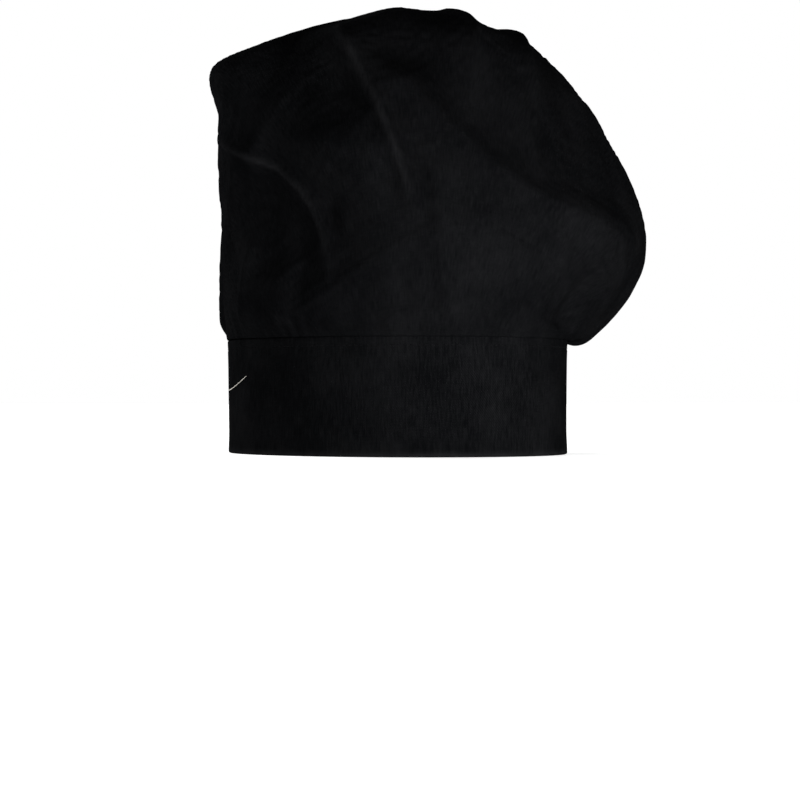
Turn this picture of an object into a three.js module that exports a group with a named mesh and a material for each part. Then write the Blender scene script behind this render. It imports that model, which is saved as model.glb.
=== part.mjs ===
// Mushroom chef hat: a soft crown of one cloth, gathered into an upright cloth band.
// Millimetres, +Z up, the front faces -Y. The hat stands on its rim, and the head goes in from below.
import * as THREE from 'three';

// The band, an oval ring round a 56 cm head
const BAND_INSIDE_LENGTH = 198; // front to back
const BAND_INSIDE_WIDTH = 160;
const BAND_HEIGHT = 58;
const BAND_WALL = 2; // the twill, folded double
const RIM_BEVEL = 0.4; // rounds the folded edge, and leaves a flat for the hat to stand on

// The crown's cloth
const CLOTH = 1;
const SEAM_ALLOWANCE = 8; // the gathered edge, turned down inside the band
const SEAM_GAP = 0.35; // between crown and band
const CROWN_HEIGHT = 224; // at the crown's middle, above the rim
const PLEATS = 18; // gathers round the seam
const PLEAT_DRIFT = 1.9; // how unevenly the gathers are spread, in radians

// How finely the cloth is faceted
const COLUMNS = 96; // round the hat
const ROWS = [2, 5, 6, 7, 5]; // from seam to sag, belly, brow, crest and middle
const FOLD_STEPS = 14; // along a fold
const FOLD_FADE = 0.22; // the share of a fold's length over which each end dies away
const SEAM_CALM = 0.18; // the level up to which folds grow, so that the seam stays even
const STEEPEST = 0.6; // cosine of the steepest fold side that keeps the full thickness

// The crown's profiles, each as [reach, height] pairs from the seam up. Reach is measured out from the middle
// of the band, height up from the rim. Bearing 0 is the wearer's left, 90 the back and 270 the front.
const CROWN_PROFILES = [
  { bearing: 0, sag: [100, 62], belly: [129, 99], brow: [117, 147], crest: [72, 200], gather: 2.0 },
  { bearing: 30, sag: [103, 59], belly: [131, 94], brow: [116, 145], crest: [68, 196], gather: 2.4 },
  { bearing: 60, sag: [107, 57], belly: [130, 92], brow: [113, 145], crest: [64, 192], gather: 2.6 },
  { bearing: 90, sag: [108, 61], belly: [120, 96], brow: [107, 148], crest: [62, 196], gather: 2.4 },
  { bearing: 120, sag: [99, 68], belly: [100, 106], brow: [97, 156], crest: [70, 202], gather: 1.6 },
  { bearing: 150, sag: [89, 72], belly: [88.5, 112], brow: [90, 166], crest: [84, 200], gather: 1.4 },
  { bearing: 180, sag: [90, 72], belly: [92.5, 110], brow: [93, 164], crest: [84, 201], gather: 1.1 },
  { bearing: 210, sag: [97, 70], belly: [101, 106], brow: [100, 160], crest: [74, 208], gather: 0.9 },
  { bearing: 240, sag: [101, 68], belly: [107, 104], brow: [103, 152], crest: [67, 213], gather: 0.6 },
  { bearing: 270, sag: [105, 66], belly: [112, 98], brow: [106, 134], crest: [70, 209], gather: 0.6 },
  { bearing: 300, sag: [103, 64], belly: [118, 94], brow: [111, 130], crest: [75, 204], gather: 1.0 },
  { bearing: 330, sag: [101, 63], belly: [127, 101], brow: [116, 150], crest: [74, 204], gather: 1.6 },
];

// Folds of the crown, along [bearing, level]: level 0 is the seam, 1 the crown's middle. Rise is how high
// a ridge stands, or below zero how deep a hollow is. A low soft makes a crisp crease.
const FOLDS = [
  { name: 'ridge', from: [200, 0.92], via: [237, 0.635], to: [248, 0.4], rise: 6.5, width: 8, soft: 0.4 },
  { name: 'ridge hollow', from: [211, 0.8], via: [231, 0.64], to: [241, 0.5], rise: -4, width: 8, soft: 0.8 },
  { name: 'dent', from: [181, 0.78], via: [209, 0.74], to: [237, 0.65], rise: -10, width: 20, soft: 1.1 },
  { name: 'under dent', from: [196, 0.55], via: [222, 0.575], to: [243, 0.555], rise: 5.5, width: 10, soft: 0.8 },
  { name: 'side', from: [160, 0.585], via: [209, 0.488], to: [222, 0.28], rise: 5.5, width: 7, soft: 0.5 },
  { name: 'valley', from: [203, 0.61], via: [217, 0.49], to: [227, 0.36], rise: -6.5, width: 10, soft: 0.9 },
  { name: 'low dent', from: [178, 0.5], via: [198, 0.42], to: [211, 0.26], rise: -7, width: 13, soft: 1.0 },
  { name: 'brow', from: [229, 0.72], via: [265, 0.62], to: [325, 0.44], rise: 6, width: 9, soft: 0.7 },
  { name: 'over brow', from: [240, 0.77], via: [272, 0.71], to: [306, 0.58], rise: -6, width: 13, soft: 1.0 },
  { name: 'brow dent', from: [240, 0.67], via: [247, 0.55], to: [251, 0.4], rise: -4.5, width: 7, soft: 0.6 },
  { name: 'crease', from: [249, 0.6], via: [252, 0.4], to: [254, 0.16], rise: 3, width: 5, soft: 0.35 },
  { name: 'top', from: [380, 0.88], via: [296, 0.92], to: [259, 0.64], rise: 4.5, width: 6, soft: 0.35 },
  { name: 'shoulder', from: [330, 0.88], via: [297, 0.78], to: [281, 0.6], rise: 4, width: 6, soft: 0.35 },
  { name: 'cheek', from: [318, 0.82], via: [307, 0.7], to: [299, 0.56], rise: -5, width: 13, soft: 0.8 },
  { name: 'notch', from: [325, 0.72], via: [319, 0.6], to: [312, 0.52], rise: -3, width: 9, soft: 0.8 },
  { name: 'lobe dent', from: [300, 0.38], via: [295, 0.28], to: [293, 0.12], rise: -5, width: 9, soft: 0.8 },
  { name: 'corner', from: [138, 0.76], via: [160, 0.76], to: [184, 0.74], rise: 3.5, width: 9, soft: 0.4 },
  { name: 'temple', from: [190, 0.42], via: [186, 0.25], to: [180, 0.06], rise: 2.5, width: 6, soft: 0.4 },
  { name: 'lobe ridge', from: [342, 0.06], via: [340, 0.45], to: [348, 0.92], rise: 4, width: 8, soft: 0.5 },
  { name: 'back ridge', from: [16, 0.04], via: [26, 0.4], to: [14, 0.86], rise: 5, width: 9, soft: 0.5 },
  { name: 'back dent', from: [46, 0.08], via: [42, 0.4], to: [54, 0.8], rise: -6, width: 12, soft: 0.9 },
  { name: 'back ridge', from: [72, 0.04], via: [78, 0.36], to: [66, 0.8], rise: 5, width: 8, soft: 0.4 },
  { name: 'back dent', from: [100, 0.08], via: [97, 0.4], to: [108, 0.74], rise: -5, width: 12, soft: 0.9 },
  { name: 'back', from: [124, 0.04], via: [127, 0.36], to: [114, 0.82], rise: 4.5, width: 8, soft: 0.4 },
];

const FULL_TURN = 2 * Math.PI;
const radians = (degrees) => (degrees * Math.PI) / 180;
const smoothstep = (low, high, x) => THREE.MathUtils.smoothstep(x, low, high);
const at = (angle, reach, z) => new THREE.Vector3(reach * Math.cos(angle), reach * Math.sin(angle), z);
const angleOf = (column) => (column / COLUMNS) * FULL_TURN;
const columns = (pointAt) => Array.from({ length: COLUMNS }, (_, column) => pointAt(angleOf(column)));

// A smooth curve from b to c, steered by their neighbours a and d
function between([a, b, c, d], t) {
  const slopeB = (c - a) / 2;
  const slopeC = (d - b) / 2;
  const bend = -3 * b + 3 * c - 2 * slopeB - slopeC;
  const twist = 2 * b - 2 * c + slopeB + slopeC;
  return b + slopeB * t + bend * t * t + twist * t * t * t;
}

// The distance from the hat's axis to the inside of the band
function insideRadius(angle) {
  const halfLength = BAND_INSIDE_LENGTH / 2;
  const halfWidth = BAND_INSIDE_WIDTH / 2;
  return (halfLength * halfWidth) / Math.hypot(halfLength * Math.cos(angle), halfWidth * Math.sin(angle));
}

// A closed skin over rings of points: each ring joins the next, and the last joins the first or ends in
// a point. Crossed says whether a cell's diagonal starts at its first corner.
function skin(rings, closed, crossed) {
  const positions = [];
  const starts = rings.map((ring) => {
    const start = positions.length / 3;
    ring.forEach((point) => positions.push(point.x, point.y, point.z));
    return start;
  });
  const corner = (ring, column) => starts[ring] + (rings[ring].length > 1 ? column % COLUMNS : 0);
  const triangles = [];
  const spans = closed ? rings.length : rings.length - 1;
  for (let i = 0; i < spans; i += 1) {
    const j = (i + 1) % rings.length;
    for (let k = 0; k < COLUMNS; k += 1) {
      const [a, b, c, d] = [corner(i, k), corner(i, k + 1), corner(j, k), corner(j, k + 1)];
      if (a === b) triangles.push(b, d, c);
      else if (c === d) triangles.push(a, b, c);
      else if (crossed(i, k)) triangles.push(a, b, d, a, d, c);
      else triangles.push(a, b, c, b, d, c);
    }
  }
  const geometry = new THREE.BufferGeometry();
  geometry.setAttribute('position', new THREE.Float32BufferAttribute(positions, 3));
  geometry.setIndex(triangles);
  geometry.computeVertexNormals();
  return geometry;
}

// Rings round the oval, each so far out from the inside of the band
function ovalRings(section) {
  return section.map(([out, height]) => columns((angle) => at(angle, insideRadius(angle) + out, height)));
}

// The band's section as [out, height], run round the oval
function bandGeometry() {
  const section = [
    [BAND_WALL - RIM_BEVEL, 0],
    [BAND_WALL, RIM_BEVEL],
    [BAND_WALL, BAND_HEIGHT],
    [0, BAND_HEIGHT],
    [0, RIM_BEVEL],
    [RIM_BEVEL, 0],
  ];
  return skin(ovalRings(section), true, () => false);
}

// One value of the profiles at any bearing, smooth round the hat
function profileValue(read, angle) {
  const count = CROWN_PROFILES.length;
  const place = ((angle / FULL_TURN + 1) % 1) * count;
  const first = Math.floor(place);
  const around = [-1, 0, 1, 2].map((step) => read(CROWN_PROFILES[(first + step + count) % count]));
  return between(around, place - first);
}

// The points that the profile at a bearing runs through, from the seam over the middle and beyond
function profilePoints(angle) {
  const point = (name, bearing) => [0, 1].map((i) => profileValue((row) => row[name][i], bearing));
  const [beyondReach, beyondHeight] = point('crest', angle + Math.PI);
  return [
    [insideRadius(angle), BAND_HEIGHT],
    [insideRadius(angle) + BAND_WALL + SEAM_GAP, BAND_HEIGHT + 2 * SEAM_GAP],
    point('sag', angle),
    point('belly', angle),
    point('brow', angle),
    point('crest', angle),
    [0, CROWN_HEIGHT],
    [-beyondReach, beyondHeight],
  ];
}

// The smooth crown, before folds and gathers
function smoothCrown(angle, level) {
  const spans = ROWS.length;
  const first = Math.min(Math.floor(level * spans), spans - 1);
  const near = profilePoints(angle).slice(first, first + 4);
  const [reach, height] = [0, 1].map((i) => between(near.map((point) => point[i]), level * spans - first));
  return at(angle, reach, height);
}

// Each fold's path over the smooth crown
const foldPaths = FOLDS.map((fold) => {
  const path = new THREE.SplineCurve([fold.from, fold.via, fold.to].map(([x, y]) => new THREE.Vector2(x, y)));
  return path.getPoints(FOLD_STEPS).map(({ x, y }) => smoothCrown(radians(x % 360), Math.min(y, 1)));
});

// How far all folds together lift a point of the smooth crown
function foldRise(point) {
  let total = 0;
  const nearest = new THREE.Vector3();
  FOLDS.forEach(({ rise, width, soft }, n) => {
    let distance = Infinity;
    let along = 0;
    for (let i = 0; i < FOLD_STEPS; i += 1) {
      const part = new THREE.Line3(foldPaths[n][i], foldPaths[n][i + 1]);
      const share = part.closestPointToPointParameter(point, true);
      const gap = part.at(share, nearest).distanceTo(point);
      if (gap < distance) {
        distance = gap;
        along = (i + share) / FOLD_STEPS;
      }
    }
    const ends = smoothstep(0, FOLD_FADE, along) * smoothstep(0, FOLD_FADE, 1 - along);
    total += rise * ends * Math.exp(soft - Math.hypot(distance / width, soft));
  });
  return total;
}

// Gathers that open out of the seam and die away towards the belly, spread unevenly by two slow waves
function gatherRise(angle, level) {
  const drift = Math.sin(angle * 3 + 0.7) + 0.6 * Math.sin(angle * 5 + 2.1);
  const wave = Math.cos(PLEATS * angle + PLEAT_DRIFT * drift);
  const grow = smoothstep(0.02, 0.18, level) * (1 - smoothstep(0.18, 0.55, level));
  return profileValue((row) => row.gather, angle) * wave * grow;
}

// The crown's rings before folds: the hem inside the band, over the band's edge, then up to the middle
function smoothRings() {
  const rings = ovalRings([
    [-SEAM_GAP, BAND_HEIGHT - SEAM_ALLOWANCE],
    [-SEAM_GAP, BAND_HEIGHT],
    [SEAM_GAP, BAND_HEIGHT + 1.5 * SEAM_GAP],
  ]);
  const levels = rings.map(() => null);
  ROWS.forEach((rows, span) => {
    for (let row = 0; row < rows; row += 1) {
      const level = (span + row / rows) / ROWS.length;
      levels.push(level);
      rings.push(columns((angle) => smoothCrown(angle, level)));
    }
  });
  levels.push(1);
  rings.push([smoothCrown(0, 1)]);
  return { rings, levels };
}

// The direction square to the cloth, and outward, at each point of the rings
function outward(rings) {
  return rings.map((ring, i) => {
    if (ring.length === 1) return [new THREE.Vector3(0, 0, 1)];
    const below = rings[Math.max(i - 1, 0)];
    const above = rings[i + 1];
    return ring.map((_, k) => {
      const round = ring[(k + 1) % COLUMNS].clone().sub(ring[(k + COLUMNS - 1) % COLUMNS]);
      const up = above[Math.min(k, above.length - 1)].clone().sub(below[k]);
      return round.cross(up).normalize();
    });
  });
}

// The crown as a hollow shell, one cloth thick however steep its folds are
function crownGeometry() {
  const { rings, levels } = smoothRings();
  const directions = outward(rings);
  const lift = (i, k) => {
    if (levels[i] === null) return 0;
    const folds = foldRise(rings[i][k]) * smoothstep(0, SEAM_CALM, levels[i]);
    return folds + gatherRise(angleOf(k), levels[i]);
  };
  const moved = (from, amount) => from.map((ring, i) => ring.map((point, k) => {
    return point.clone().addScaledVector(directions[i][k], amount(i, k));
  }));
  const outside = moved(rings, lift);
  const facings = outward(outside);
  const depth = (i, k) => -CLOTH / Math.max(facings[i][k].dot(directions[i][k]), STEEPEST);
  const inside = moved(outside, depth);
  // Both skins split each cell along its shorter diagonal, which follows the folds
  const last = outside.length - 1;
  const crossed = (i, k) => {
    const next = (k + 1) % COLUMNS;
    const rising = outside[i][k].distanceTo(outside[i + 1][next]);
    return rising < outside[i][next].distanceTo(outside[i + 1][k]);
  };
  const split = (span, k) => {
    if (span < last) return !crossed(last - 1 - span, k);
    return span > last && crossed(span - last - 1, k);
  };
  return skin([...inside.reverse(), ...outside], false, split);
}

function piece(name, geometry) {
  const blackTwill = new THREE.MeshStandardMaterial({ color: 0x17181b, roughness: 0.92, metalness: 0 });
  const mesh = new THREE.Mesh(geometry, blackTwill);
  mesh.name = name;
  return mesh;
}

const hat = new THREE.Group();
hat.add(piece('band', bandGeometry()), piece('crown', crownGeometry()));

// The origin is under the middle of the hat's box, on the surface that the hat stands on
const middle = new THREE.Box3().setFromObject(hat).getCenter(new THREE.Vector3());
hat.position.set(-middle.x, -middle.y, 0);

export default hat;
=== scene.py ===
# Looks of the mushroom chef hat: a slouching twill crown gathered into an upright twill band
import math

import bpy
import numpy as np
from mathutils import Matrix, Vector


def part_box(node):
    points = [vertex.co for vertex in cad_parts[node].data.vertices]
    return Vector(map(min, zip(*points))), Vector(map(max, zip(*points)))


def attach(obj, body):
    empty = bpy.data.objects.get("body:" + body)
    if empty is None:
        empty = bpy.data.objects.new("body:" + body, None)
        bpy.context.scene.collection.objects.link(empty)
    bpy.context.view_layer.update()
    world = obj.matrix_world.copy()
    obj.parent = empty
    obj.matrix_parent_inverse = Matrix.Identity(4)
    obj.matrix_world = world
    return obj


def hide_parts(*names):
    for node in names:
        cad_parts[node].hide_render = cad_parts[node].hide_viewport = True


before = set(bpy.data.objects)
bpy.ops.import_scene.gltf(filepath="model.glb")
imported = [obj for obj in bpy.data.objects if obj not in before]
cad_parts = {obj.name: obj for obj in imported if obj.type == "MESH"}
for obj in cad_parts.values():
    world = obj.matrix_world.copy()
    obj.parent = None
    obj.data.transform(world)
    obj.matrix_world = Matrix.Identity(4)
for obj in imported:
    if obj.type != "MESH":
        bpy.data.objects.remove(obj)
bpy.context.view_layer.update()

MM = 0.001
FULL_TURN = 2 * math.pi

# Sizes, in millimetres as in the solids
BAND_INSIDE_LENGTH = 198  # front to back
BAND_INSIDE_WIDTH = 160
BAND_HEIGHT = 58
BAND_WALL = 2
CLOTH = 1
SEAM_ALLOWANCE = 8
SEAM_GAP = 0.35
CROWN_HEIGHT = 224
PLEATS = 18
PLEAT_DRIFT = 1.9

# Finish of the band
BAND_ROWS, EDGE_STEPS = 44, 7
BAND_TOP_EDGE = 0.4  # how far the upper edge is rounded down the face
BAND_UNEVENNESS, BAND_PUCKER = 0.5, 0.16
BAND_EDGE_WEAR = 3.5  # how far up from the lower edge the wear reaches
INSIDE_WAVE = 0.5  # share of the unevenness that shows inside
INSIDE_WAVED = (4, 10, 44, 50)  # heights at which it starts, is full, eases and ends
BACK = math.radians(90)  # where the seam is
BACK_SEAM = 0.6  # how far the seam sinks in
STITCH_ROW = 4.5  # below the upper edge
STITCH_GROOVE, STITCH_GROOVE_WIDTH = 0.22, 0.9
STITCH_PITCH, STITCH_LENGTH, STITCH_THICKNESS = 3.2, 2.6, 0.45
STITCH_LIFT = 0.05  # of the stitches' middles over the cloth

# Finish of the crown; its levels run from 0 at the seam to 1 at the middle of the top
CROWN_START = 1.3 * SEAM_GAP  # above the band's upper edge
HEM = (  # outwards from the band's inside, upwards from its upper edge
    (-SEAM_GAP, -SEAM_ALLOWANCE),
    (-SEAM_GAP, -3),
    (-SEAM_GAP, -0.3),
    (0, SEAM_GAP),
    (1, 1.15 * SEAM_GAP),
)
FOLD_FADE = 0.3  # share of a fold's length over which each of its ends rises
SHARP_RISE, SHARP_SOFT, CREST_WIDTH = 5, 0.4, 1.6  # folds whose crests carry wear and a painted highlight, and how wide
CREST_WEAR_AND_HIGHLIGHT_ENDS = (0.5, 0.95)  # shares of a crest's length between which its wear and painted highlight fade
SMALL_FOLDS, SMALL_FOLD_SEED, SMALL_FOLD_STEPS = 46, 11, 6
SEAM_CALM = 0.18  # level up to which the folds grow in
SEAM_ROLL = 1.6  # how far the lowest edge sags over the seam
PUCKERS = 61  # round the seam
STEEPEST = 0.6  # keeps the wall under CLOTH / STEEPEST where a fold is steep
WARP_BEARING = math.radians(245)  # where the crown's threads run straight down

# Levels at which the sag, the gathers and the puckers each start, are full, ease and end
ROLLED = (0, 0.03, 0.03, 0.1)
GATHERED = (0.02, 0.18, 0.18, 0.55)
PUCKERED = (0.01, 0.07, 0.08, 0.26)

# Slack of the crown's cloth
HOLD_SHAPE = 0.6  # how strongly the cloth is drawn back to the crown's shape
HELD_ROWS = 3  # rows at the seam that don't move
LOOSENESS = 0.012  # share by which the cloth is longer than the crown's shape
CLOTH_STEPS = 24
FURTHEST = 5.0  # how far a point of the cloth may settle
MIDDLE_CALM = 0.86  # level from which the cloth settles evenly, up to the middle of the top

# Finer than the solids: columns round the hat, and rows from seam to sag, belly, brow, crest and middle
COLUMNS = 300
ROWS = [12, 30, 36, 42, 30]
COARSER = 2  # the cloth simulation uses every second column and row

# bearing; reach and height at sag, belly, brow and crest; gather
CROWN_PROFILES = np.array([
    (0, 100, 62, 129, 99, 117, 147, 72, 200, 2.0),
    (30, 103, 59, 131, 94, 116, 145, 68, 196, 2.4),
    (60, 107, 57, 130, 92, 113, 145, 64, 192, 2.6),
    (90, 108, 61, 120, 96, 107, 148, 62, 196, 2.4),
    (120, 99, 68, 100, 106, 97, 156, 70, 202, 1.6),
    (150, 87.5, 78, 88.5, 112, 90, 166, 84, 200, 1.4),
    (180, 90, 72, 92.5, 110, 93, 164, 84, 201, 1.1),
    (210, 97, 70, 101, 106, 100, 160, 74, 208, 0.9),
    (240, 101, 68, 107, 104, 103, 152, 67, 213, 0.6),
    (270, 105, 66, 112, 98, 106, 134, 70, 209, 0.6),
    (300, 103, 64, 118, 94, 111, 130, 75, 204, 1.0),
    (330, 101, 63, 127, 101, 116, 150, 74, 204, 1.6),
])
SAG, BELLY, BROW, CREST, GATHER = 1, 3, 5, 7, 9  # columns, the first four each with its height beside it

# from bearing and level, via, to; rise, width, soft
FOLDS = [
    ((207, 0.88), (236, 0.635), (246, 0.43), 6.5, 6, 0.25),
    ((210, 0.82), (231, 0.64), (243, 0.46), -5, 7, 0.6),
    ((181, 0.78), (209, 0.74), (237, 0.65), -10, 20, 1.1),
    ((196, 0.55), (222, 0.575), (243, 0.555), 5.5, 10, 0.8),
    ((160, 0.585), (209, 0.488), (222, 0.28), 5.5, 4.5, 0.25),
    ((192, 0.55), (211, 0.475), (224, 0.28), -12, 15, 0.9),
    ((178, 0.50), (196, 0.43), (206, 0.31), -8, 12, 0.9),
    ((214, 0.785), (265, 0.62), (325, 0.44), 6, 9, 0.6),
    ((222, 0.79), (270, 0.70), (300, 0.63), -9, 20, 1.0),
    ((238, 0.69), (244, 0.58), (250, 0.41), -5.5, 8, 0.6),
    ((249, 0.60), (252, 0.40), (254, 0.16), 3, 5, 0.3),
    ((380, 0.88), (296, 0.92), (259, 0.64), 4.5, 6, 0.3),
    ((330, 0.88), (297, 0.78), (281, 0.60), 4, 6, 0.3),
    ((318, 0.82), (307, 0.70), (299, 0.56), -5, 13, 0.8),
    ((325, 0.72), (319, 0.60), (312, 0.52), -3, 9, 0.7),
    ((300, 0.38), (295, 0.28), (293, 0.12), -6, 8, 0.7),
    ((138, 0.76), (160, 0.76), (184, 0.74), 3.5, 9, 0.35),
    ((190, 0.42), (186, 0.25), (180, 0.06), 2.5, 6, 0.35),
    ((342, 0.06), (340, 0.45), (348, 0.92), 4, 8, 0.5),
    ((16, 0.04), (26, 0.40), (14, 0.86), 5, 9, 0.45),
    ((46, 0.08), (42, 0.40), (54, 0.80), -6, 12, 0.9),
    ((72, 0.04), (78, 0.36), (66, 0.80), 5, 8, 0.35),
    ((100, 0.08), (97, 0.40), (108, 0.74), -5, 12, 0.9),
    ((124, 0.04), (127, 0.36), (114, 0.82), 4.5, 8, 0.35),
]

# Linear colours of the yarns and threads, from their dark to their light places
TWILL_DARK, TWILL_LIGHT = (0.0014, 0.0015, 0.0017), (0.0063, 0.0064, 0.0069)
BLACK_THREAD_DARK, BLACK_THREAD_LIGHT = (0.0020, 0.0021, 0.0023), (0.0060, 0.0061, 0.0066)
PALE_THREAD_DARK, PALE_THREAD_LIGHT = (0.30, 0.28, 0.24), (0.50, 0.47, 0.42)
# the crown's strength is for wear with a painted highlight on its sharp crests, the band's for wear of its
# lower edge
CROWN_WEAR_AND_HIGHLIGHT, BAND_WEAR = 0.34, 0.42

# Distant lamps: name; degrees to the right of the camera, and up; strength; softness in degrees
SUNS = (
    ("fill", -50, 20, 0.9, 60),
    ("left", -90, 10, 0.4, 60),
    ("overhead", 10, 65, 0.15, 70),
    ("behind right", 160, 25, 1.6, 50),
    ("behind left", -140, 22, 4.2, 30),
)

band_low, band_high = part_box("band")
AXIS = Vector(((band_low[0] + band_high[0]) / 2, (band_low[1] + band_high[1]) / 2, 0))
VIEW_TURN = math.radians(30)
AHEAD = Vector((math.sin(VIEW_TURN), math.cos(VIEW_TURN), 0))  # where the camera looks
ACROSS = Vector((math.cos(VIEW_TURN), -math.sin(VIEW_TURN), 0))


def add_object(name, data):
    """An object of the given data, in the scene."""
    made = bpy.data.objects.new(name, data)
    bpy.context.collection.objects.link(made)
    return made


# Camera
def add_camera():
    """Level with the lower band, 30 degrees off the front to the wearer's right."""
    distance, eye_height, aside, frame_width = 1.2, 0.0273, 0.0023, 0.4126
    data = bpy.data.cameras.new("camera")
    data.sensor_width = 36
    data.lens = data.sensor_width * distance / frame_width
    camera = add_object("camera", data)
    camera.location = AXIS + ACROSS * aside - AHEAD * distance + Vector((0, 0, eye_height))
    camera.rotation_euler = AHEAD.to_track_quat("-Z", "Y").to_euler()
    bpy.context.scene.camera = camera


add_camera()


# Shape of the crown
def between(a, b, c, d, t):
    """A smooth curve from b to c, steered by their neighbours a and d."""
    slope_b, slope_c = (c - a) / 2, (d - b) / 2
    bend = -3 * b + 3 * c - 2 * slope_b - slope_c
    twist = 2 * b - 2 * c + slope_b + slope_c
    return b + slope_b * t + bend * t**2 + twist * t**3


def smoothstep(low, high, x):
    """0 below low, 1 above high, and a soft rise between them."""
    t = np.clip((x - low) / (high - low), 0, 1)
    return t * t * (3 - 2 * t)


def swell(x, start, full, ease, end):
    """0 before start and after end, and 1 from full to ease."""
    return smoothstep(start, full, x) * (1 - smoothstep(ease, end, x))


def inside_radius(angle):
    """How far the band's oval inside lies from its axis."""
    half_length, half_width = BAND_INSIDE_LENGTH / 2, BAND_INSIDE_WIDTH / 2
    return half_length * half_width / np.hypot(half_length * np.cos(angle), half_width * np.sin(angle))


def profile_value(column, angle):
    """A column of the crown's profiles at any bearing."""
    count = len(CROWN_PROFILES)
    spot = (angle / FULL_TURN % 1) * count
    first = np.floor(spot).astype(int)
    values = CROWN_PROFILES[:, column]
    around = [values[(first + step) % count] for step in (-1, 0, 1, 2)]
    return between(*around, spot - first)


def place(angle, reach, height):
    """Points from their bearing, their distance from the axis and their height."""
    return np.stack([reach * np.cos(angle), reach * np.sin(angle), height], axis=-1)


def smooth_crown(angle, level):
    """The crown before folds and gathers."""
    angle, level = np.broadcast_arrays(np.asarray(angle, float), np.asarray(level, float))
    opposite = angle + math.pi
    flat = np.zeros_like(angle)
    reach = [inside_radius(angle), inside_radius(angle) + BAND_WALL + SEAM_GAP]
    height = [flat + BAND_HEIGHT, flat + BAND_HEIGHT + CROWN_START]
    for column in (SAG, BELLY, BROW, CREST):
        reach.append(profile_value(column, angle))
        height.append(profile_value(column + 1, angle))
    reach += [flat, -profile_value(CREST, opposite)]
    height += [flat + CROWN_HEIGHT, profile_value(CREST + 1, opposite)]
    spans = len(ROWS)
    first = np.minimum(np.floor(level * spans).astype(int), spans - 1)
    t = level * spans - first

    def along(values):
        values = np.array(values)
        near = [np.take_along_axis(values, (first + step)[None], 0)[0] for step in range(4)]
        return between(*near, t)

    return place(angle, along(reach), along(height))


def fold_path(start, via, end, steps):
    """Points of a fold on the smooth crown, from its one end to the other."""
    points = np.array([start, start, via, end, end], float)
    share = np.linspace(0, 2, steps + 1)
    first = np.minimum(share.astype(int), 1)
    near = [points[first + step] for step in range(4)]
    route = between(*near, (share - first)[:, None])
    return smooth_crown(np.radians(route[:, 0]), np.minimum(route[:, 1], 1))


def fold_rise(points, folds, steps=14):
    """How far the folds lift each point, and how close it lies to a sharp crest, from 0 to 1."""
    total, crest = np.zeros(len(points)), np.zeros(len(points))
    for start, via, end, rise, width, soft in folds:
        path = fold_path(start, via, end, steps)
        nearest = np.full(len(points), np.inf)
        along = np.zeros(len(points))
        for i in range(steps):
            part = path[i + 1] - path[i]
            share = np.clip((points - path[i]) @ part / (part @ part), 0, 1)
            gap = np.linalg.norm(points - path[i] - share[:, None] * part, axis=1)
            closer = gap < nearest
            nearest[closer] = gap[closer]
            along[closer] = (i + share[closer]) / steps
        ends = smoothstep(0, FOLD_FADE, along) * smoothstep(0, FOLD_FADE, 1 - along)
        total += rise * ends * np.exp(soft - np.hypot(nearest / width, soft))
        # sharp crests get a lighter line: wear of the cloth together with a painted highlight along the
        # crease
        if rise > SHARP_RISE and soft < SHARP_SOFT:
            crest_wear_and_highlight = ends * (1 - smoothstep(*CREST_WEAR_AND_HIGHLIGHT_ENDS, along))
            crest = np.maximum(crest, crest_wear_and_highlight * np.exp(-(nearest / CREST_WIDTH) ** 2))
    return total, crest


def pucker_wave(angle):
    """Fine, uneven puckers of the gathered seam, which crown and band share."""
    return np.cos(PUCKERS * angle + 3.1 * np.sin(angle * 7 + 0.4))


def gather_rise(angle, level):
    """Gathers out of the seam, as on the solids, and finer puckers close to it."""
    drift = np.sin(angle * 3 + 0.7) + 0.6 * np.sin(angle * 5 + 2.1)
    wave = np.cos(PLEATS * angle + PLEAT_DRIFT * drift)
    fine = pucker_wave(angle) * (0.6 + 0.4 * np.sin(angle * 11))
    strength = profile_value(GATHER, angle)
    gathers = strength * wave * swell(level, *GATHERED)
    return gathers + (0.25 + 0.3 * strength) * fine * swell(level, *PUCKERED)


def small_folds():
    """Short, shallow creases of handled cloth, spread over the crown."""
    rng = np.random.default_rng(SMALL_FOLD_SEED)
    folds = []
    for _ in range(SMALL_FOLDS):
        bearing, level = rng.uniform(0, 360), rng.uniform(0.12, 0.86)
        turn, climb = rng.normal(0, 9), rng.choice([-1, 1]) * rng.uniform(0.05, 0.13)
        bow = rng.normal(0, 2)
        rise = rng.choice([-1, 1]) * rng.uniform(0.5, 1.5)
        width, soft = rng.uniform(3, 6), rng.uniform(0.3, 0.7)
        start, end = (bearing - turn, level - climb), (bearing + turn, level + climb)
        folds.append((start, (bearing + bow, level), end, rise, width, soft))
    return folds


def crown_levels():
    """The level of each row of the crown."""
    return np.concatenate([(span + np.arange(n) / n) / len(ROWS) for span, n in enumerate(ROWS)])


def square_to(grid, pole):
    """The outward direction at each point of a grid of rows and columns that ends in a pole."""
    around = np.roll(grid, -1, 1) - np.roll(grid, 1, 1)
    above = np.concatenate([grid[1:], np.broadcast_to(pole, (1,) + grid.shape[1:])])
    below = np.concatenate([grid[:1], grid[:-1]])
    normal = np.cross(around, above - below)
    return normal / np.linalg.norm(normal, axis=-1, keepdims=True)


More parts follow.
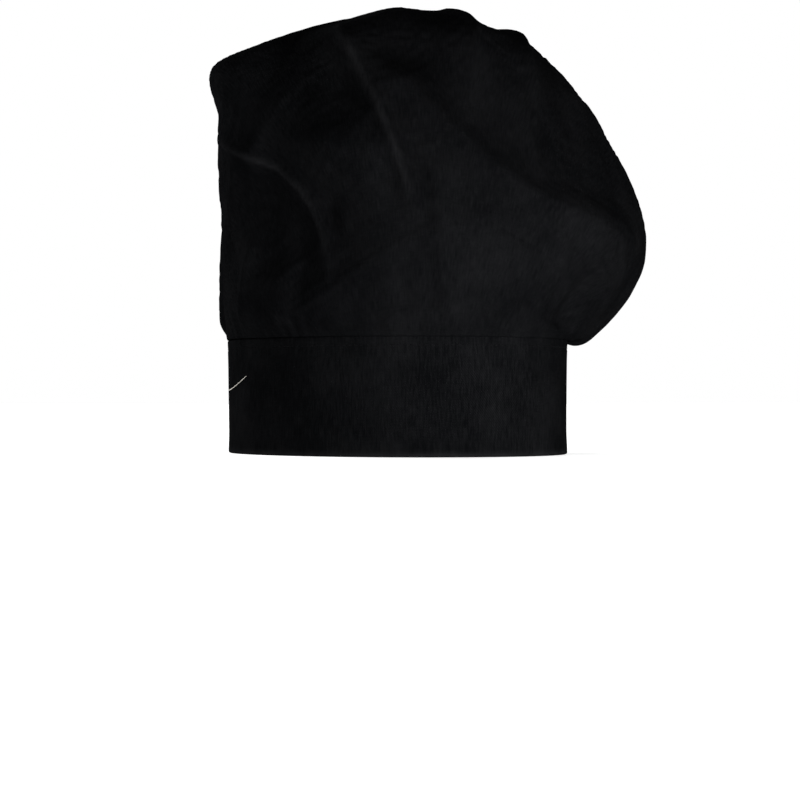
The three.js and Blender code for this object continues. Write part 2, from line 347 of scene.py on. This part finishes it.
def relax_cloth(grid, pole):
    """Lets slightly loose cloth settle round the crown, and returns how far each point moves."""
    rows, columns = grid.shape[:2]
    points = np.concatenate([grid.reshape(-1, 3), pole[None]]) * MM
    mesh = bpy.data.meshes.new("cloth rest")
    mesh.from_pydata(points.tolist(), [], grid_faces(rows, columns))
    cloth = add_object("cloth rest", mesh)
    hold = cloth.vertex_groups.new(name="hold")
    held = HELD_ROWS * columns
    hold.add(list(range(held)), 1.0, "REPLACE")
    hold.add(list(range(held, len(points))), HOLD_SHAPE, "REPLACE")
    modifier = cloth.modifiers.new("cloth", "CLOTH")
    settings = modifier.settings
    settings.quality = 5
    settings.mass = 0.1
    settings.tension_stiffness = 12
    settings.compression_stiffness = 12
    settings.shear_stiffness = 4
    settings.bending_stiffness = 5.0
    settings.tension_damping = 8
    settings.compression_damping = 8
    settings.shear_damping = 8
    settings.air_damping = 2
    settings.vertex_group_mass = "hold"
    settings.shrink_min = -LOOSENESS
    settings.effector_weights.gravity = 0.3
    modifier.collision_settings.use_collision = False
    scene = bpy.context.scene
    for step in range(1, CLOTH_STEPS + 1):
        scene.frame_set(step)
    settled = cloth.evaluated_get(bpy.context.evaluated_depsgraph_get()).data
    moved = np.empty(len(points) * 3)
    settled.vertices.foreach_get("co", moved)
    moved = moved.reshape(-1, 3) - points
    scene.frame_set(1)
    bpy.data.objects.remove(cloth)
    bpy.data.meshes.remove(mesh)
    far = np.linalg.norm(moved, axis=1, keepdims=True)
    moved *= np.minimum(1, FURTHEST * MM / np.maximum(far, 1e-9))
    return moved[:-1].reshape(grid.shape) / MM, moved[-1] / MM


def finer(coarse, rows, factor):
    """A coarse grid of movements, spread over a grid that is finer by a factor."""
    def spread(values, count, wrap):
        share = np.arange(count) / factor
        first = np.floor(share).astype(int)
        t = (share - first).reshape((-1,) + (1,) * (values.ndim - 1))
        near = [first + step for step in (-1, 0, 1, 2)]
        near = [i % len(values) if wrap else np.clip(i, 0, len(values) - 1) for i in near]
        return between(*[values[i] for i in near], t)

    tall = spread(coarse, rows, False)
    return spread(tall.swapaxes(0, 1), coarse.shape[1] * factor, True).swapaxes(0, 1)


# Meshes
def grid_faces(rows, columns):
    """Quads between neighbouring rows, and a fan of triangles to the pole that follows the last row."""
    faces = []
    for i in range(rows - 1):
        for k in range(columns):
            a, b = i * columns + k, i * columns + (k + 1) % columns
            faces.append((a, b, b + columns, a + columns))
    last, pole = (rows - 1) * columns, rows * columns
    faces += [(last + k, last + (k + 1) % columns, pole) for k in range(columns)]
    return faces


def new_piece(name, points, faces, material, uv=None, wear_and_highlight=None):
    """A piece from points in the hat's millimetres round the band's axis, with its place in its mesh."""
    mesh = bpy.data.meshes.new(name)
    mesh.from_pydata((np.asarray(points) * MM + np.array(AXIS)).tolist(), [], faces)
    mesh.shade_smooth()
    if uv is not None:
        corners = np.empty(len(mesh.loops), dtype=np.int32)
        mesh.loops.foreach_get("vertex_index", corners)
        layer = mesh.uv_layers.new(name="cloth")
        layer.data.foreach_set("uv", np.asarray(uv, dtype=np.float32)[corners].ravel())
    if wear_and_highlight is not None:
        mark = mesh.attributes.new("wear_and_highlight", "FLOAT", "POINT")
        mark.data.foreach_set("value", np.asarray(wear_and_highlight, dtype=np.float32))
    mesh.materials.append(material)
    return add_object(name, mesh)


def crown_shape(angles):
    """The crown's outer skin with its pole, the smooth crown's outward directions, and its sharp crests."""
    levels = crown_levels()
    angle, level = np.meshgrid(angles, levels)
    smooth = smooth_crown(angle, level)
    pole = smooth_crown(0.0, 1.0)
    directions = square_to(smooth, pole)
    flat = smooth.reshape(-1, 3)
    rise, crest = fold_rise(flat, FOLDS)
    rise += fold_rise(flat, small_folds(), SMALL_FOLD_STEPS)[0]
    lift = rise.reshape(level.shape) * smoothstep(0, SEAM_CALM, level) + gather_rise(angle, level)
    grid = smooth + directions * lift[..., None]
    grid[..., 2] -= SEAM_ROLL * swell(level, *ROLLED)
    pole[2] += fold_rise(pole[None], FOLDS)[0][0]
    moved, pole_moved = relax_cloth(grid[::COARSER, ::COARSER], pole)
    middle = smoothstep(MIDDLE_CALM, 1, level)[..., None]
    grid = grid + finer(moved, len(levels), COARSER) * (1 - middle) + pole_moved * middle
    pole = pole + pole_moved
    return grid, pole, directions, crest.reshape(level.shape)


def flat_crown(outside, pole, angles):
    """Places on the crown's flat cloth: a disc, its radius the way from the middle of the top."""
    top_row = np.broadcast_to(pole, (1, COLUMNS, 3))
    steps = np.linalg.norm(np.diff(np.concatenate([outside, top_row]), axis=0), axis=-1)
    way = steps[::-1].cumsum(axis=0)[::-1]
    way = (way + np.roll(way, 3, 1) + np.roll(way, -3, 1)) / 3
    turned = np.broadcast_to(angles - WARP_BEARING, way.shape)
    places = np.stack([way * np.sin(turned), way * np.cos(turned)], axis=-1) * MM
    return np.concatenate([places.reshape(-1, 2), [[0, 0]]])


def crown_piece(material):
    """The crown: an outer and an inner skin from hem to pole, joined along the hem."""
    angles = np.arange(COLUMNS) / COLUMNS * FULL_TURN
    grid, pole, directions, crest = crown_shape(angles)
    hem = np.array([
        place(angles, inside_radius(angles) + out, np.full(COLUMNS, BAND_HEIGHT + up)) for out, up in HEM
    ])
    outside = np.concatenate([hem, grid])
    facing = square_to(outside, pole)
    lead = np.concatenate([facing[:len(hem)], directions])
    depth = CLOTH / np.maximum((facing * lead).sum(-1), STEEPEST)
    inside = outside - lead * depth[..., None]
    outer_points = np.concatenate([outside.reshape(-1, 3), pole[None]])
    inner_points = np.concatenate([inside.reshape(-1, 3), pole[None] - [0, 0, CLOTH]])
    count = len(outer_points)
    faces = grid_faces(len(outside), COLUMNS)
    faces += [tuple(count + i for i in reversed(face)) for face in faces[:]]
    faces += [(k, count + k, count + (k + 1) % COLUMNS, (k + 1) % COLUMNS) for k in range(COLUMNS)]
    uv = flat_crown(outside, pole, angles)
    # the crown's sharp crests are marked for wear with a painted highlight
    wear_and_highlight = np.zeros(2 * count)
    wear_and_highlight[hem[..., 0].size:count - 1] = crest.ravel()
    return new_piece("crown_cloth", np.concatenate([outer_points, inner_points]), faces, material,
                     uv=np.concatenate([uv, uv]), wear_and_highlight=wear_and_highlight)


def band_wave(angle, height):
    """Slight unevenness of a band long in use, in millimetres, quiet at its lower edge."""
    slow = 0.5 * np.sin(angle * 4 + 1.1 + height / 30) + 0.35 * np.sin(angle * 9 + 0.3 - height / 22)
    puckers = pucker_wave(angle) * smoothstep(BAND_HEIGHT - 14, BAND_HEIGHT - 2, height)
    return BAND_UNEVENNESS * slow * smoothstep(0, 12, height) + BAND_PUCKER * puckers


def back_seam(angle):
    """The groove of the seam at the back, and the slight rise of the cloth on both sides of it."""
    groove_width, rise, rise_at, rise_width = 0.9, 0.25, 2.2, 1.6
    away = (angle - BACK) * BAND_INSIDE_LENGTH / 2
    groove = BACK_SEAM * np.exp(-(away / groove_width) ** 2)
    return groove - rise * np.exp(-((np.abs(away) - rise_at) / rise_width) ** 2)


def band_out(angle, height):
    """How far the band's outer face lies from its inside, in millimetres."""
    from_row = height - (BAND_HEIGHT - STITCH_ROW)
    groove = STITCH_GROOVE * np.exp(-(from_row / STITCH_GROOVE_WIDTH) ** 2)
    return BAND_WALL + band_wave(angle, height) - back_seam(angle) - groove


def band_piece(material):
    """The band: rows up its outer face, over its upper edge, down its inside and round its lower edge."""
    angles = np.arange(COLUMNS) / COLUMNS * FULL_TURN
    rounding = BAND_WALL / 2
    face = np.linspace(rounding, BAND_HEIGHT - 2 * BAND_TOP_EDGE, BAND_ROWS)
    face = np.append(face, BAND_HEIGHT - BAND_TOP_EDGE)
    turns = np.linspace(0, math.pi, EDGE_STEPS)[1:-1]
    rows, heights = [], []

    def add(out, height):
        rows.append(place(angles, inside_radius(angles) + out, np.full(COLUMNS, float(height))))
        heights.append(height)

    for height in face:
        add(band_out(angles, height), height)
    for turn in turns:
        out = rounding + math.cos(turn) * (band_out(angles, face[-1]) - rounding)
        add(out, face[-1] + BAND_TOP_EDGE * math.sin(turn))
    for height in face[::-1]:
        add(INSIDE_WAVE * band_wave(angles, height) * swell(height, *INSIDE_WAVED), height)
    for turn in turns:
        add(rounding - math.cos(turn) * rounding, face[0] - rounding * math.sin(turn))
    points = np.array(rows)
    count = len(rows)
    faces = []
    for i in range(count):
        j = (i + 1) % count
        for k in range(COLUMNS):
            n = (k + 1) % COLUMNS
            faces.append((i * COLUMNS + k, i * COLUMNS + n, j * COLUMNS + n, j * COLUMNS + k))
    round_it = FULL_TURN * (BAND_INSIDE_LENGTH + BAND_INSIDE_WIDTH) / 4
    u = np.broadcast_to((angles - BACK) / FULL_TURN * round_it, (count, COLUMNS))
    v = np.cumsum([0] + [np.linalg.norm(points[i + 1, 0] - points[i, 0]) for i in range(count - 1)])
    uv = np.stack([u, np.broadcast_to(v[:, None], u.shape)], axis=-1) * MM
    edge = 1 - smoothstep(0, BAND_EDGE_WEAR, np.array(heights))
    return new_piece("band_cloth", points.reshape(-1, 3), faces, material, uv=uv.reshape(-1, 2),
                     wear_and_highlight=np.repeat(edge, COLUMNS))


# Node trees
def feed(tree, socket, value):
    """Links another socket to this one, or gives it a value of its own."""
    if isinstance(value, bpy.types.NodeSocket):
        tree.links.new(value, socket)
    else:
        socket.default_value = value


def add_node(tree, kind, **values):
    """A node with its inputs fed by name, where an underscore stands for a space."""
    node = tree.nodes.new(kind)
    for label, value in values.items():
        feed(tree, node.inputs[label.replace("_", " ")], value)
    return node


def calculate(tree, operation, *values):
    """The outcome of a math node on sockets or numbers."""
    node = add_node(tree, "ShaderNodeMath")
    node.operation = operation
    for socket, value in zip(node.inputs, values):
        feed(tree, socket, value)
    return node.outputs[0]


def noise(tree, vector, scale, detail=3.0):
    """Random tone in soft lumps, with their number in a metre."""
    return add_node(tree, "ShaderNodeTexNoise", Vector=vector, Scale=scale, Detail=detail).outputs["Fac"]


def stretched_noise(tree, vector, across, along):
    """Random tone in lumps that are longer one way, with their numbers in a metre."""
    stretched = add_node(tree, "ShaderNodeMapping", Vector=vector, Scale=(across, along, 1))
    return noise(tree, stretched.outputs["Vector"], 1.0)


def dyed(tree, tone, darkest, lightest, dark, light):
    """A colour from dark to light, as the tone runs from darkest to lightest."""
    share = add_node(tree, "ShaderNodeMapRange", Value=tone, From_Min=darkest, From_Max=lightest)
    mix = add_node(tree, "ShaderNodeMix")
    mix.data_type = "RGBA"
    inputs = {socket.identifier: socket for socket in mix.inputs}
    feed(tree, inputs["Factor_Float"], share.outputs["Result"])
    feed(tree, inputs["A_Color"], dark)
    feed(tree, inputs["B_Color"], light)
    return next(socket for socket in mix.outputs if socket.identifier == "Result_Color")


def group_tree(name, inputs, outputs):
    """A shader node group with named sockets: the tree, what comes in, and the sockets of what goes out."""
    tree = bpy.data.node_groups.new(name, "ShaderNodeTree")
    for label, kind, value in inputs:
        socket = tree.interface.new_socket(label, in_out="INPUT", socket_type="NodeSocket" + kind)
        if value is not None:
            socket.default_value = value
    for label, kind in outputs:
        tree.interface.new_socket(label, in_out="OUTPUT", socket_type="NodeSocket" + kind)
    return tree, add_node(tree, "NodeGroupInput").outputs, add_node(tree, "NodeGroupOutput").inputs


def placed(tree, group, values):
    """A group's node in a material, with its own values or links."""
    node = add_node(tree, "ShaderNodeGroup")
    node.node_tree = group
    for label, value in values.items():
        feed(tree, node.inputs[label], value)
    return node.outputs


# Materials
def twill_group():
    """Twill on a flat cloth in metres: the height of its ribs and yarns, its uneven tone and its fluff."""
    tree, source, target = group_tree("twill weave", [
        ("Cloth", "Vector", None),
        ("Yarns per metre", "Float", 1900.0),
        ("Rib depth", "Float", 0.6),
        ("Yarn depth", "Float", 0.4),
        ("Fluff per metre", "Float", 2600.0),
    ], [("Height", "Float"), ("Tone", "Float"), ("Fluff", "Float")])
    rib_slant, yarns_in_rib = 0.7, 2
    split = add_node(tree, "ShaderNodeSeparateXYZ", Vector=source["Cloth"]).outputs
    turns = calculate(tree, "MULTIPLY", source["Yarns per metre"], FULL_TURN)
    warp = calculate(tree, "SINE", calculate(tree, "MULTIPLY", split["X"], turns))
    warp = calculate(tree, "ABSOLUTE", warp)
    diagonal = calculate(tree, "MULTIPLY_ADD", split["Y"], rib_slant, split["X"])
    rib_turns = calculate(tree, "DIVIDE", turns, yarns_in_rib)
    rib = calculate(tree, "SINE", calculate(tree, "MULTIPLY", diagonal, rib_turns))
    rib = calculate(tree, "MULTIPLY_ADD", rib, source["Rib depth"], 0.5)
    feed(tree, target["Height"], calculate(tree, "MULTIPLY_ADD", warp, source["Yarn depth"], rib))
    # Thick and thin warp yarns make faint lines along the cloth, weft yarns fainter ones across it
    fine, long, warp_share = 1300, 150, 0.75
    lines = stretched_noise(tree, source["Cloth"], fine, long)
    crossing = stretched_noise(tree, source["Cloth"], long, fine)
    weft_tone = calculate(tree, "MULTIPLY", crossing, 1 - warp_share)
    feed(tree, target["Tone"], calculate(tree, "MULTIPLY_ADD", lines, warp_share, weft_tone))
    feed(tree, target["Fluff"], noise(tree, source["Cloth"], source["Fluff per metre"], 2.0))
    return tree


def handling_group():
    """Uneven wear of a handled hat, over the whole object, and a light mark along its crests and edge: wear
    with a painted highlight on the crown's sharp crests, wear alone on the band's lower edge.
    """
    tree, source, target = group_tree("handling", [
        ("Place", "Vector", None),
        ("Mask of wear and highlight", "Float", 0.0),
        ("Patches per metre", "Float", 38.0),
        ("Crumples per metre", "Float", 120.0),
    ], [("Patches", "Float"), ("Crumple", "Float"), ("Wear and highlight", "Float")])
    crumple = noise(tree, source["Place"], source["Crumples per metre"])
    feed(tree, target["Patches"], noise(tree, source["Place"], source["Patches per metre"]))
    feed(tree, target["Crumple"], crumple)
    feed(tree, target["Wear and highlight"], calculate(tree, "MULTIPLY", source["Mask of wear and highlight"], crumple))
    return tree


def dye_group():
    """Dye on twill: its colour and dullness by yarn, patch, fluff, and wear with a painted highlight."""
    tree, source, target = group_tree("dyed twill", [
        ("Yarn tone", "Float", 0.5),
        ("Patches", "Float", 0.5),
        ("Fluff", "Float", 0.5),
        ("Wear and highlight", "Float", 0.0),
        ("Strength of wear and highlight", "Float", 0.4),
        ("Dark", "Color", None),
        ("Light", "Color", None),
    ], [("Colour", "Color"), ("Roughness", "Float")])
    tone = -0.05  # darkens the whole cloth a little
    shares = (("Yarn tone", 0.4), ("Patches", 0.25), ("Fluff", 0.3), ("Wear and highlight", source["Strength of wear and highlight"]))
    for label, share in shares:
        tone = calculate(tree, "MULTIPLY_ADD", source[label], share, tone)
    darkest, lightest = 0.36, 0.64
    feed(tree, target["Colour"], dyed(tree, tone, darkest, lightest, source["Dark"], source["Light"]))
    dullest, light_yarn_gloss = 0.95, -0.15
    roughness = calculate(tree, "MULTIPLY_ADD", source["Yarn tone"], light_yarn_gloss, dullest)
    feed(tree, target["Roughness"], roughness)
    return tree


def plies_group():
    """The turns of a sewing thread's plies, as a height and a colour."""
    tree, source, target = group_tree("thread plies", [
        ("Place", "Vector", None),
        ("Turns per metre", "Float", 3200.0),
        ("Dark", "Color", None),
        ("Light", "Color", None),
    ], [("Height", "Float"), ("Colour", "Color")])
    darkest, lightest = 0.35, 0.65
    plies = noise(tree, source["Place"], source["Turns per metre"], 2.0)
    feed(tree, target["Height"], plies)
    feed(tree, target["Colour"], dyed(tree, plies, darkest, lightest, source["Dark"], source["Light"]))
    return tree


def new_material(name):
    """A material that uses nodes, and its tree."""
    material = bpy.data.materials.new(name)
    material.use_nodes = True
    return material, material.node_tree


def finish(tree, **values):
    """Feeds a material's shader by name, where an underscore stands for a space."""
    shader = next(node for node in tree.nodes if node.type == "BSDF_PRINCIPLED")
    for label, value in values.items():
        feed(tree, shader.inputs[label.replace("_", " ")], value)


def cloth_material(name, groups, wear_and_highlight_strength, dark, light):
    """Dyed cotton twill: tone between dark and light by yarn, patch, and wear with a painted highlight on
    sharp crests.
    """
    weave, handling, dye = groups
    material, tree = new_material(name)
    flat_cloth = add_node(tree, "ShaderNodeUVMap")
    flat_cloth.uv_map = "cloth"
    # this mark lightens the cloth: wear with a painted highlight on the crown's crests, wear alone on the
    # band's lower edge
    mark = add_node(tree, "ShaderNodeAttribute")
    mark.attribute_name = "wear_and_highlight"
    where = add_node(tree, "ShaderNodeTexCoord")
    woven = placed(tree, weave, {"Cloth": flat_cloth.outputs["UV"]})
    handled = placed(tree, handling, {"Place": where.outputs["Object"], "Mask of wear and highlight": mark.outputs["Fac"]})
    colouring = placed(tree, dye, {
        "Yarn tone": woven["Tone"],
        "Patches": handled["Patches"],
        "Fluff": woven["Fluff"],
        "Wear and highlight": handled["Wear and highlight"],
        "Strength of wear and highlight": wear_and_highlight_strength,
        "Dark": (*dark, 1),
        "Light": (*light, 1),
    })
    yarns = add_node(tree, "ShaderNodeBump", Strength=0.35, Distance=0.12 * MM, Height=woven["Height"])
    crumple = add_node(tree, "ShaderNodeBump", Strength=0.5, Distance=0.6 * MM, Height=handled["Crumple"],
                       Normal=yarns.outputs["Normal"])
    finish(tree, Base_Color=colouring["Colour"], Roughness=colouring["Roughness"],
           Normal=crumple.outputs["Normal"],
           Specular_IOR_Level=0.0, Sheen_Weight=0.0006, Sheen_Roughness=0.5)
    return material


def thread_material(name, plies, dark, light, specular):
    """Sewing thread, with the turns of its plies along it."""
    material, tree = new_material(name)
    where = add_node(tree, "ShaderNodeTexCoord")
    colours = {"Dark": (*dark, 1), "Light": (*light, 1)}
    turned = placed(tree, plies, {"Place": where.outputs["Object"], **colours})
    bump = add_node(tree, "ShaderNodeBump", Distance=0.05 * MM, Height=turned["Height"])
    finish(tree, Base_Color=turned["Colour"], Normal=bump.outputs["Normal"], Roughness=0.7,
           Specular_IOR_Level=specular)
    return material


# Stitches and thread
def stitch_tree():
    """Geometry nodes that lay one stitch after another along a line, and their inputs' identifiers."""
    tree = bpy.data.node_groups.new("stitch row", "GeometryNodeTree")
    sizes = ("Pitch", "Length", "Thickness")
    kinds = {"Line": "Geometry", **dict.fromkeys(sizes, "Float"), "Thread": "Material"}
    sockets = {}
    for label, kind in kinds.items():
        socket = tree.interface.new_socket(label, in_out="INPUT", socket_type="NodeSocket" + kind)
        sockets[label] = socket.identifier
    tree.interface.new_socket("Stitches", in_out="OUTPUT", socket_type="NodeSocketGeometry")
    source = add_node(tree, "NodeGroupInput").outputs
    target = add_node(tree, "NodeGroupOutput").inputs
    curve = add_node(tree, "GeometryNodeMeshToCurve", Mesh=source["Line"])
    points = add_node(tree, "GeometryNodeCurveToPoints", Curve=curve.outputs["Curve"])
    points.mode = "LENGTH"
    feed(tree, points.inputs["Length"], source["Pitch"])
    turn = add_node(tree, "FunctionNodeAlignRotationToVector", Vector=points.outputs["Tangent"])
    turn.axis = "X"
    ball = add_node(tree, "GeometryNodeMeshUVSphere", Segments=6, Rings=5, Radius=0.5)
    size = add_node(tree, "ShaderNodeCombineXYZ", X=source["Length"], Y=source["Thickness"],
                    Z=source["Thickness"])
    stitch = add_node(tree, "GeometryNodeTransform", Geometry=ball.outputs["Mesh"], Scale=size.outputs[0])
    laid = add_node(tree, "GeometryNodeInstanceOnPoints", Points=points.outputs["Points"],
                    Instance=stitch.outputs[0], Rotation=turn.outputs[0])
    real = add_node(tree, "GeometryNodeRealizeInstances", Geometry=laid.outputs[0])
    done = add_node(tree, "GeometryNodeSetMaterial", Geometry=real.outputs[0], Material=source["Thread"])
    feed(tree, target["Stitches"], done.outputs[0])
    return tree, sockets


def stitch_piece(name, lines, thread):
    """Stitches along lines of points, in millimetres round the band's axis."""
    points, edges = [], []
    for line, closed in lines:
        first = len(points)
        points += (np.asarray(line) * MM + np.array(AXIS)).tolist()
        edges += [(first + i, first + i + 1) for i in range(len(line) - 1)]
        if closed:
            edges.append((first + len(line) - 1, first))
    guide = bpy.data.meshes.new(name + " guide")
    guide.from_pydata(points, edges, [])
    holder = add_object(name + " guide", guide)
    modifier = holder.modifiers.new("stitches", "NODES")
    tree, sockets = stitch_tree()
    modifier.node_group = tree
    modifier[sockets["Pitch"]] = STITCH_PITCH * MM
    modifier[sockets["Length"]] = STITCH_LENGTH * MM
    modifier[sockets["Thickness"]] = STITCH_THICKNESS * MM
    modifier[sockets["Thread"]] = thread
    mesh = bpy.data.meshes.new_from_object(holder.evaluated_get(bpy.context.evaluated_depsgraph_get()))
    mesh.name = name
    holder.modifiers.remove(modifier)
    bpy.data.objects.remove(holder)
    mesh.shade_smooth()
    return add_object(name, mesh)


def band_stitches(thread):
    """A row below the crown's seam, and one down each side of the seam at the back."""
    def stitch_line(angles, heights):
        reach = inside_radius(angles) + band_out(angles, heights) + STITCH_LIFT
        return place(angles, reach, heights)

    round_points, back_points = 360, 24
    from_seam, from_edge, from_row = 3, 2, 1.5
    row_height = BAND_HEIGHT - STITCH_ROW
    angles = np.arange(round_points) / round_points * FULL_TURN
    lines = [(stitch_line(angles, np.full(round_points, row_height)), True)]
    heights = np.linspace(from_edge, row_height - from_row, back_points)
    for side in (-1, 1):
        angle = BACK + side * from_seam / (BAND_INSIDE_LENGTH / 2)
        lines.append((stitch_line(np.full(back_points, angle), heights), False))
    return stitch_piece("band_stitches", lines, thread)


def loose_thread(material):
    """A short end of pale thread that clings to the band, on the wearer's right."""
    start, reach = math.radians(151), math.radians(26)
    lowest, climb, wobble = 32.4, 7.0, 0.2
    off_cloth, curl = 0.32, 0.9
    thickness, taper = 0.22, 0.35
    count, sides = 18, 6
    share = np.linspace(0, 1, count)
    angles = start + reach * share
    bend = (1 - np.cos(reach * share)) / (1 - math.cos(reach))
    heights = lowest + climb * bend + wobble * np.sin(share * 4)
    out = band_out(angles, heights) + off_cloth + curl * share**2
    middle = place(angles, inside_radius(angles) + out, heights)
    ahead = np.gradient(middle, axis=0)
    ahead /= np.linalg.norm(ahead, axis=1, keepdims=True)
    side = np.cross(ahead, place(angles, 1.0, 0 * angles))
    side /= np.linalg.norm(side, axis=1, keepdims=True)
    third = np.cross(ahead, side)
    radius = thickness * (1 - taper * share[:, None])
    turns = np.arange(sides) / sides * FULL_TURN
    rings = np.array([middle + radius * (math.cos(t) * side + math.sin(t) * third) for t in turns])
    faces = []
    for i in range(count - 1):
        for k in range(sides):
            a, b = i * sides + k, i * sides + (k + 1) % sides
            faces.append((a, b, b + sides, a + sides))
    faces.append(tuple(reversed(range(sides))))
    faces.append(tuple((count - 1) * sides + k for k in range(sides)))
    return new_piece("loose_thread", rings.swapaxes(0, 1).reshape(-1, 3), faces, material)


# Setting
def add_stage():
    """A pale floor under the hat, running back to the horizon."""
    size = 12
    corners = [(-size, -size, 0), (size, -size, 0), (size, size, 0), (-size, size, 0)]
    mesh = bpy.data.meshes.new("floor")
    mesh.from_pydata(corners, [], [(0, 1, 2, 3)])
    material, tree = new_material("pale floor")
    finish(tree, Base_Color=(0.82, 0.82, 0.82, 1), Roughness=0.9, Specular_IOR_Level=0.1,
           Emission_Color=(1, 1, 1, 1), Emission_Strength=0.5)
    mesh.materials.append(material)
    add_object("floor", mesh)


def add_lamp(name, data, turn, rise):
    """A lamp that shines at the crown, from degrees to the right of the camera and up."""
    turn, rise = math.radians(turn), math.radians(rise)
    level_way = AHEAD * -math.cos(turn) + ACROSS * math.sin(turn)
    way = level_way * math.cos(rise) + Vector((0, 0, math.sin(rise)))
    lamp = add_object(name, data)
    lamp.rotation_euler = (-way).to_track_quat("-Z", "Y").to_euler()
    lamp.visible_camera = False
    return lamp, way


def add_light():
    """A pale studio, a near and low key lamp, and distant lamps all round."""
    seen, glow = 1.0, 0.07  # the world's strength to the camera and to everything else
    world = bpy.data.worlds.new("studio")
    bpy.context.scene.world = world
    world.use_nodes = True
    tree = world.node_tree
    background = next(node for node in tree.nodes if node.type == "BACKGROUND")
    path = add_node(tree, "ShaderNodeLightPath")
    strength = calculate(tree, "MULTIPLY_ADD", path.outputs["Is Camera Ray"], seen - glow, glow)
    feed(tree, background.inputs["Strength"], strength)
    feed(tree, background.inputs["Color"], (1, 1, 1, 1))
    key_distance, crown_middle = 0.42, Vector((0, 0, 0.13))
    key = bpy.data.lights.new("low key", "AREA")
    key.shape = "DISK"
    key.size = 0.1
    key.energy = 2.2
    lamp, way = add_lamp("low key", key, 28, -11)
    lamp.location = AXIS + crown_middle + way * key_distance
    for name, turn, rise, strength, softness in SUNS:
        sun = bpy.data.lights.new(name, "SUN")
        sun.energy = strength
        sun.angle = math.radians(softness)
        add_lamp(name, sun, turn, rise)
    bpy.context.scene.view_settings.view_transform = "Standard"


add_stage()
add_light()

cloth_groups = (twill_group(), handling_group(), dye_group())
plies = plies_group()
crown_twill = cloth_material("black twill", cloth_groups, CROWN_WEAR_AND_HIGHLIGHT, TWILL_DARK, TWILL_LIGHT)
band_twill = cloth_material("black band twill", cloth_groups, BAND_WEAR, TWILL_DARK, TWILL_LIGHT)
black_thread = thread_material("black thread", plies, BLACK_THREAD_DARK, BLACK_THREAD_LIGHT, 0.0)
pale_thread = thread_material("pale thread", plies, PALE_THREAD_DARK, PALE_THREAD_LIGHT, 0.3)

crown = crown_piece(crown_twill)
band = band_piece(band_twill)
stitches = band_stitches(black_thread)
thread_end = loose_thread(pale_thread)

for piece in (crown, band, stitches, thread_end):
    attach(piece, "root")
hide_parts("crown")
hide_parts("band")
